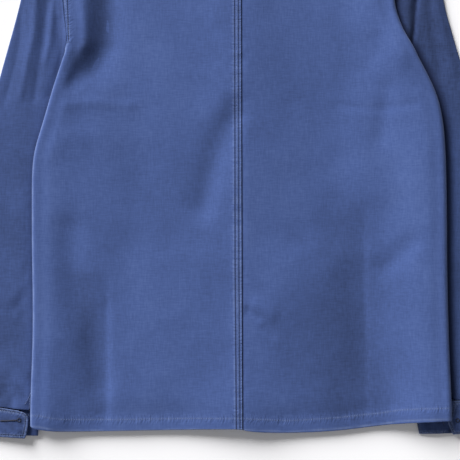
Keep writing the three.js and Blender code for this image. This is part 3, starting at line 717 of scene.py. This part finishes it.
def makeBack(name, node, side):
    piece = refined(meshCopy(node), name, 3)
    co = planOf(piece)
    bodyEdges[side] = outerOf(co)
    x, y, z = co[:, 0].copy(), co[:, 1], co[:, 2]
    wayIn = smoothStep(back["reliefFrom"], back["reliefFull"], bodyEdges[side](y) - np.abs(x))
    relief = foldHeight(backFolds, x, y) + creaseHeight(backCreases, x, y)
    relief += back["swell"] * softNoise(x, y, back["swellScale"], seed=3.1)
    relief += back["ripple"] * softNoise(x, y, back["rippleScale"], seed=7.7)
    wave = softNoise(x * back["seamStretch"], y, back["seamScale"], seed=1.3)
    relief += back["seamWave"] * wave * np.exp(-((x / back["seamReach"]) ** 2))
    hemFar = fromLine(wholeHem, x, y)[0]
    slanted = x + back["hemSlant"] * y
    roping = softNoise(slanted, y * back["hemStretch"], back["hemScale"], seed=5.1)
    relief += back["hemWave"] * roping * np.exp(-((hemFar / back["hemReach"]) ** 2))
    co[:, 2] += wayIn * (relief + back["lift"])
    co[:, 0] += centreShift(y) * np.exp(-((x / back["bandSpread"]) ** 2))
    if side < 0:  # the armhole's edge laps further over the sleeve
        lap = smoothStep(back["lapFrom"], back["lapFull"], y)
        lap = lap * smoothStep(back["lapReach"], 0, bodyEdges[side](y) - np.abs(x))
        co[:, 0] -= back["armholeLap"] * lap
        co[:, 2] -= back["armholeSink"] * lap
    putPlan(piece, co)
    x = co[:, 0]
    bandEdge = back["bandEdge"] + centreShift(y)
    outside = smoothStep(back["outsideFrom"], back["outsideFull"], z)
    wear = hemWear(x, y)
    if side < 0:
        groove = np.interp(y, *zip(*[(py, px) for px, py in reversed(sewing["centreGroove"])]))
        dashes = uneven(y, middle=0.55, quick=2.2, slow=0.83, shift=1)
        # Painted shadow at the band's edge and painted shade in the stitch grooves.
        paintedShade = back["bandEdgeShadow"] * smoothStep(*back["bandNear"], bandEdge - x) * outside
        for band in seamBands:
            across = np.exp(-(((x - groove - band["at"]) / band["wide"]) ** 2)) * outside
            wear += band["wear"] * across * dashes
            paintedShade += band["paintedShade"] * across
        seams = ["hemLeft", "centreGroove", "centreRow", "armholeNear", "armholeFar"]
    else:
        # Painted shadow along the felled band's edge.
        paintedShade = back["bandEdgeShadow"] * np.exp(-(((x - bandEdge) / back["bandLine"]) ** 2)) * outside
        seams = ["hemRight"]
    wear = np.clip(wear + edgeWear(x, y, z, side), 0, 1)
    # The fades carry painted shade and light along the folds as well as fading.
    markCloth(piece, seams, fadeAndShade=foldHeight(fadesAndFoldShade, x, y), paintedShade=paintedShade, wear=wear)
    finishCloth(piece, node, **flats["back"], restsOn=["front_left", "front_right"])
    return piece


# Less faded than the back; painted shadow is darkest where the body's edge lies over it, with painted shade
# along a crease and, on the right sleeve, painted shade of the body towards the top.
sleeve = {
    -1: {"fadeAndShade": -0.42, "topFadeAndShade": 0.1, "shade": 0.35, "shadeReach": 6.0, "folds": 0.75,
         "crease": 0.25, "creaseLine": [(-214, 515), (-212, 462), (-222, 425)]},
    1: {"fadeAndShade": -0.38, "topFadeAndShade": -0.42, "shade": 0.88, "shadeReach": 14.0, "folds": 1.1,
        "crease": 0.7, "creaseLine": [(214.5, 540), (213.6, 515), (211, 480), (207.6, 461)]},
}

# The left vent's edge is drawn out towards the body below its top.
vent = {"reach": 4.4, "top": 62.0, "full": 30.0, "outerX": -266.0, "innerX": -255.0}

sleeveCloth = {
    "upperFrom": 2.4,  # heights that tell the upper ply from the lower
    "upperFull": 3.4,
    "ripple": 0.35,
    "rippleScale": 30.0,
    "cuffFar": 95.0,  # heights above the hem between which the gathers by the cuff grow
    "cuffNear": 40.0,
    "gather": 0.8,
    "gatherStretch": 1.4,
    "gatherScale": 13.0,
    "mottle": 0.12,
    "cuffMottle": 0.3,
    "mottleScale": 14.0,
    # width of the painted shade along the crease
    "creaseWide": 1.9,
    "topFrom": 300.0,  # heights between which the top's own fading sets in, and on the right sleeve a painted shade of the body
    "topFull": 470.0,
    "armholeFrom": 440.0,  # and between which the body's painted shadow narrows
    "armholeFull": 480.0,
    "narrowed": 0.5,
}


def makeSleeve(name, node, side):
    piece = refined(meshCopy(node), name, 3)
    co = planOf(piece)
    x, y, z = co[:, 0], co[:, 1], co[:, 2]
    upper = smoothStep(sleeveCloth["upperFrom"], sleeveCloth["upperFull"], z)
    if side < 0:
        drawn = vent["reach"] * upper * smoothStep(vent["top"], vent["full"], y)
        co[:, 0] += drawn * smoothStep(vent["outerX"], vent["innerX"], x)
    looks = sleeve[side]
    nearCuff = smoothStep(sleeveCloth["cuffFar"], sleeveCloth["cuffNear"], y)
    relief = looks["folds"] * foldHeight(sleeveFolds[side], x, y)
    relief += sleeveCloth["ripple"] * softNoise(x, y, sleeveCloth["rippleScale"], seed=2.7)
    gathers = softNoise(x, y * sleeveCloth["gatherStretch"], sleeveCloth["gatherScale"], seed=8.8)
    relief += sleeveCloth["gather"] * nearCuff * gathers
    co[:, 2] += upper * relief
    putPlan(piece, co)
    # On the right sleeve the darkening towards the top is painted shade of the body.
    fadeAndShade = looks["fadeAndShade"] + looks["topFadeAndShade"] * smoothStep(sleeveCloth["topFrom"], sleeveCloth["topFull"], y)
    mottle = sleeveCloth["mottle"] + sleeveCloth["cuffMottle"] * nearCuff
    fadeAndShade += mottle * softNoise(x, y, sleeveCloth["mottleScale"], seed=5.5)
    # Painted shadow beside the body's edge and painted shade along a crease.
    byArmhole = smoothStep(sleeveCloth["armholeFrom"], sleeveCloth["armholeFull"], y)
    reach = looks["shadeReach"] * (1 - sleeveCloth["narrowed"] * byArmhole)
    paintedShade = looks["shade"] * smoothStep(1, 0, (np.abs(x) - bodyEdges[side](y)) / reach)
    fromCrease = fromLine(looks["creaseLine"], x, y)[0]
    paintedShade += looks["crease"] * np.exp(-((fromCrease / sleeveCloth["creaseWide"]) ** 2))
    markCloth(piece, fadeAndShade=fadeAndShade, paintedShade=paintedShade)
    finishCloth(piece, node, **flats["sleeve"])
    return piece


cuff = {
    "corner": (-263.0, 8.5),  # middle of the left band's rounded corner
    "radius": 12.0,
    "slant": 5.5,  # how far the right band's end leans in
    "underLean": 7.0,  # how far the ends of the left lower ply's edge lean in
    # painted shadow of the body's hem on the right lower ply
    "underDark": 0.72,
    "upperFrom": 3.0,  # heights that tell the upper ply from the lower
    "upperFull": 3.6,
    "ripple": 0.35,
    "rippleScale": 9.0,
    "crinkle": 0.2,
    "crinkleScale": 4.0,
    "outerX": 370.0,
    "calmEnd": 6.0,  # how far from the outer end the ripples begin
    "underEnd": (-254.0, -247.0),  # x between which the left lower ply's end leans
    "underHalf": 11.0,  # half its height
    "lowerLean": 0.7,  # how much of the lean its lower half has
    "underShade": (-5.5, 1.5),  # y between which the right lower ply darkens with painted shadow of the body's hem
    "slantY": (-9.0, 10.0),  # where the slant of the right band's end grows
    "slantX": (285.0, 262.0),
    "slantEnd": (247.0, 252.0),  # keeps the lower ply out of it
    "stitchWear": 0.5,
    "wearIn": 1.2,  # from the stitches to the middle of their worn line
    "wearWide": 1.1,
    "wearMiddle": 0.6,
    "wearRate": 1.3,
    "fadeAndShade": -0.42,
    "mottle": 0.6,
    "mottleScale": 8.0,
}


def makeCuff(name, node, side, sheet, seams):
    piece = refined(meshCopy(node), name, 3)
    co = planOf(piece)
    x, y, z = co[:, 0], co[:, 1], co[:, 2]
    paintedShade = np.zeros(x.shape)
    upper = smoothStep(cuff["upperFrom"], cuff["upperFull"], z)
    if side < 0:
        dx, dy = x - cuff["corner"][0], y - cuff["corner"][1]
        inCorner = (dx > 0) & (dy > 0)
        pull = np.where(inCorner, np.minimum(1, cuff["radius"] / np.maximum(np.hypot(dx, dy), 1)), 1)
        pull = 1 + (pull - 1) * upper
        half = cuff["underHalf"]
        lean = smoothStep(0, half, y) + cuff["lowerLean"] * smoothStep(0, -half, y)
        co[:, 0], co[:, 1] = cuff["corner"][0] + dx * pull, cuff["corner"][1] + dy * pull
        co[:, 0] -= cuff["underLean"] * lean * (1 - upper) * smoothStep(*cuff["underEnd"], x)
    else:
        # Painted shadow of the body's hem darkens the right lower ply.
        paintedShade = cuff["underDark"] * smoothStep(*cuff["underShade"], y) * (1 - upper)
        leaned = cuff["slant"] * upper * smoothStep(*cuff["slantY"], y)
        co[:, 0] -= leaned * smoothStep(*cuff["slantX"], x) * smoothStep(*cuff["slantEnd"], x)
    ripple = cuff["ripple"] * softNoise(x, y, cuff["rippleScale"], seed=4.4)
    ripple += cuff["crinkle"] * softNoise(x, y, cuff["crinkleScale"], seed=9.4)
    co[:, 2] += upper * ripple * smoothStep(0, cuff["calmEnd"], cuff["outerX"] - np.abs(x))
    putPlan(piece, co)
    far = np.minimum.reduce([fromLine(sewing[seam], x, y)[0] for seam in seams])
    wear = cuff["stitchWear"] * np.exp(-(((far - cuff["wearIn"]) / cuff["wearWide"]) ** 2))
    wear = wear * (cuff["wearMiddle"] + (1 - cuff["wearMiddle"]) * np.sin(x * cuff["wearRate"] + y))
    fadeAndShade = cuff["fadeAndShade"] + cuff["mottle"] * softNoise(x, y, cuff["mottleScale"], seed=6.2)
    markCloth(piece, seams, fadeAndShade=fadeAndShade, paintedShade=paintedShade, wear=np.clip(wear, 0, 1))
    finishCloth(piece, node, **sheet)
    return piece


def makePlain(name, node, levels, sheet):
    piece = refined(meshCopy(node), name, levels)
    markCloth(piece)
    finishCloth(piece, node, **sheet)
    return piece


buttonRows = [62, 190, 318, 446, 574]
thread = {
    "thick": 0.55,
    "length": 2.1,
    "pitch": 2.9,
    "uneven": (0.93, 1.07),  # shares of the pitch between which each stitch falls
    "sink": 0.2,
    "castFrom": 60.0,  # mm above or below the table from where the cloth is looked for
    "roughness": 0.7,
    "twist": {"stretch": (1, 1, 1), "scale": 900, "detail": 1},
}


# Rows of stitches laid on a piece, each stitch a short grain of thread.
def makeThreads(name, material, rows):
    bm = bmesh.new()
    views = {}
    count = 0
    for row in rows:
        piece = row["on"]
        if piece.name not in views:
            views[piece.name] = BVHTree.FromObject(piece, bpy.context.evaluated_depsgraph_get())
        down = row.get("from", "above") == "above"
        look = {**thread, **row}
        far = 0.0
        points = row["line"]
        total = sum(math.dist(a, b) for a, b in zip(points, points[1:]))
        while far + look["length"] < total:
            here, ahead = pointAlong(points, far), pointAlong(points, far + look["length"])
            far += look["pitch"] * random.uniform(*thread["uneven"])
            ends = [touch(views[piece.name], spot, down) for spot in (here, ahead)]
            if None in ends:
                continue
            middle, along = (ends[0] + ends[1]) / 2, ends[1] - ends[0]
            middle.z += 0 if down else thread["sink"] * mm
            turn = along.to_track_quat("X", "Z").to_matrix().to_4x4()
            half = look["thick"] / 2 * mm
            shape = Matrix.Translation(middle) @ turn @ Matrix.Diagonal((along.length / 2, half, half, 1))
            bmesh.ops.create_icosphere(bm, subdivisions=1, radius=1, matrix=shape)
            count += 1
    piece = pieceOf(bm, name)
    for face in piece.data.polygons:
        face.use_smooth = True
    piece.data.materials.append(material)
    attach(piece, "root")
    print("threads", name, count, "stitches")


def pointAlong(points, far):
    for (x0, y0), (x1, y1) in zip(points, points[1:]):
        length = math.hypot(x1 - x0, y1 - y0)
        if far <= length:
            return x0 + (x1 - x0) * far / length, y0 + (y1 - y0) * far / length
        far -= length
    return points[-1]


def touch(tree, spot, down):
    start = place(*spot, thread["castFrom"] if down else -thread["castFrom"])
    hit = tree.ray_cast(start, Vector((0, 0, -1 if down else 1)))[0]
    return hit


def makeThreadMaterial(name, low, high):
    material = bpy.data.materials.new(name)
    material.use_nodes = True
    tree = material.node_tree
    shader = tree.nodes["Principled BSDF"]
    coordinates = tree.nodes.new("ShaderNodeTexCoord")
    twist = noiseNode(tree, coordinates.outputs["Object"], **thread["twist"])
    tree.links.new(mixColour(tree, twist, low, high), shader.inputs["Base Color"])
    shader.inputs["Roughness"].default_value = thread["roughness"]
    return material


button = {
    "dark": (0.008, 0.011, 0.03),
    "light": (0.03, 0.038, 0.08),
    "marble": {"stretch": (1, 1, 2), "scale": 160, "detail": 3},
    "roughLeast": 0.22,
    "roughSwing": 0.25,
    "rim": 0.3,  # mm over which its edges are rounded
    "rimAngle": 1.2,  # edges sharper than this are rounded
    "flatFace": 0.99,  # faces that look up or down more than this aren't smoothed
}


def makeButtonMaterial():
    material = bpy.data.materials.new("navy button")
    material.use_nodes = True
    tree = material.node_tree
    shader = tree.nodes["Principled BSDF"]
    coordinates = tree.nodes.new("ShaderNodeTexCoord")
    marble = noiseNode(tree, coordinates.outputs["Object"], **button["marble"])
    tone = mixColour(tree, marble, button["dark"], button["light"])
    tree.links.new(tone, shader.inputs["Base Color"])
    rough = mathNode(tree, "MULTIPLY_ADD", marble, button["roughSwing"], button["roughLeast"])
    tree.links.new(rough, shader.inputs["Roughness"])
    return material


def makeButton(node):
    bm = meshCopy(node)
    paired = [edge for edge in bm.edges if len(edge.link_faces) == 2]
    rims = [edge for edge in paired if edge.calc_face_angle(0) > button["rimAngle"]]
    bmesh.ops.bevel(bm, geom=rims, offset=button["rim"] * mm, offset_type="OFFSET", segments=2,
                    profile=0.5, affect="EDGES", material=-1)
    piece = pieceOf(bm, node + "_cap")
    for face in piece.data.polygons:
        face.use_smooth = abs(face.normal.z) < button["flatFace"]
    piece.data.materials.append(buttonMaterial)
    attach(piece, "root")
    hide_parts(node)


navyThread = makeThreadMaterial("navy thread", (0.012, 0.020, 0.07), (0.04, 0.06, 0.16))
blackThread = makeThreadMaterial("buttonhole thread", (0.004, 0.006, 0.018), (0.012, 0.018, 0.05))
paleThread = makeThreadMaterial("washed thread", (0.07, 0.11, 0.25), (0.16, 0.21, 0.38))
buttonMaterial = makeButtonMaterial()

makeCamera()
makeStudio()
leftBack = makeBack("left_back", "back_left", -1)
rightBack = makeBack("right_back", "back_right", 1)
leftFront = makePlain("left_front", "front_left", 1, flats["front"])
rightFront = makePlain("right_front", "front_right", 1, flats["front"])
leftSleeve = makeSleeve("left_sleeve", "sleeve_left", -1)
makeSleeve("right_sleeve", "sleeve_right", 1)
leftCuff = makeCuff("left_cuff", "cuff_left", -1, flats["leftCuff"], ["cuffLeft"])
rightCuff = makeCuff("right_cuff", "cuff_right", 1, flats["rightCuff"], ["cuffRight", "cuffUnder"])
collar = makePlain("turned_collar", "collar", 2, flats["collar"])
pockets = {
    -1: makePlain("left_pocket", "pocket_left", 1, flats["pocket"]),
    1: makePlain("right_pocket", "pocket_right", 1, flats["pocket"]),
}
ventTacks = {"pitch": 1.9, "thick": 0.8}

makeThreads("hem_threads", paleThread, [
    {"on": leftBack, "line": sewing["hemLeft"]},
    {"on": rightBack, "line": sewing["hemRight"]},
    {"on": leftCuff, "line": sewing["cuffLeft"]},
    {"on": rightCuff, "line": sewing["cuffRight"]},
    {"on": rightCuff, "line": sewing["cuffUnder"]},
    {"on": leftSleeve, "line": sewing["vent"], **ventTacks},
    {"on": leftSleeve, "line": sewing["ventUnder"], **ventTacks},
    {"on": collar, "line": sewing["collarEdge"]},
])
makeThreads("back_threads", navyThread, [
    {"on": leftBack, "line": sewing["centreGroove"]},
    {"on": leftBack, "line": sewing["centreRow"]},
    {"on": leftBack, "line": sewing["armholeNear"]},
    {"on": leftBack, "line": sewing["armholeFar"]},
])
buttonhole = {"pitch": 0.8, "length": 1.9, "thick": 2.3}
eyelet = {"pitch": 0.6, "length": 1.0, "thick": 1.6}
eyes = {"left": (-262.6, 10.7), "right": (264.0, 9.9)}
eyeRadius = 2.1
frontHoleX = (9.8, 15.0)
frontHoles = [[(x, y) for x in frontHoleX] for y in buttonRows]
makeThreads("buttonhole_threads", blackThread, [
    {"on": leftCuff, "line": sewing["holeLeft"], **buttonhole},
    {"on": leftCuff, "line": circleOf(*eyes["left"], eyeRadius), **eyelet},
    {"on": rightCuff, "line": sewing["holeRight"], **buttonhole},
    {"on": rightCuff, "line": circleOf(*eyes["right"], eyeRadius), **eyelet},
] + [{"on": leftFront, "from": "below", "line": hole, **buttonhole} for hole in frontHoles])
below = [
    {"on": leftFront, "line": sewing["frontEdge"]},
    {"on": leftFront, "line": sewing["frontInner"]},
    {"on": leftFront, "line": sewing["frontHemLeft"]},
    {"on": rightFront, "line": sewing["frontHemRight"]},
]
pocketSewing = {"in": 36.2, "out": 161.8, "foot": 38.2, "top": 205, "hemIn": 37, "hemOut": 161, "hem": 186}
for side, pocket in pockets.items():
    near, far = side * pocketSewing["in"], side * pocketSewing["out"]
    foot, top = pocketSewing["foot"], pocketSewing["top"]
    below.append({"on": pocket, "line": [(near, top), (near, foot), (far, foot), (far, top)]})
    hem = [(side * pocketSewing[end], pocketSewing["hem"]) for end in ("hemIn", "hemOut")]
    below.append({"on": pocket, "line": hem})
makeThreads("front_threads", navyThread, [{**row, "from": "below"} for row in below])
for node in sorted(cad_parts):
    if "button" in node:
        makeButton(node)
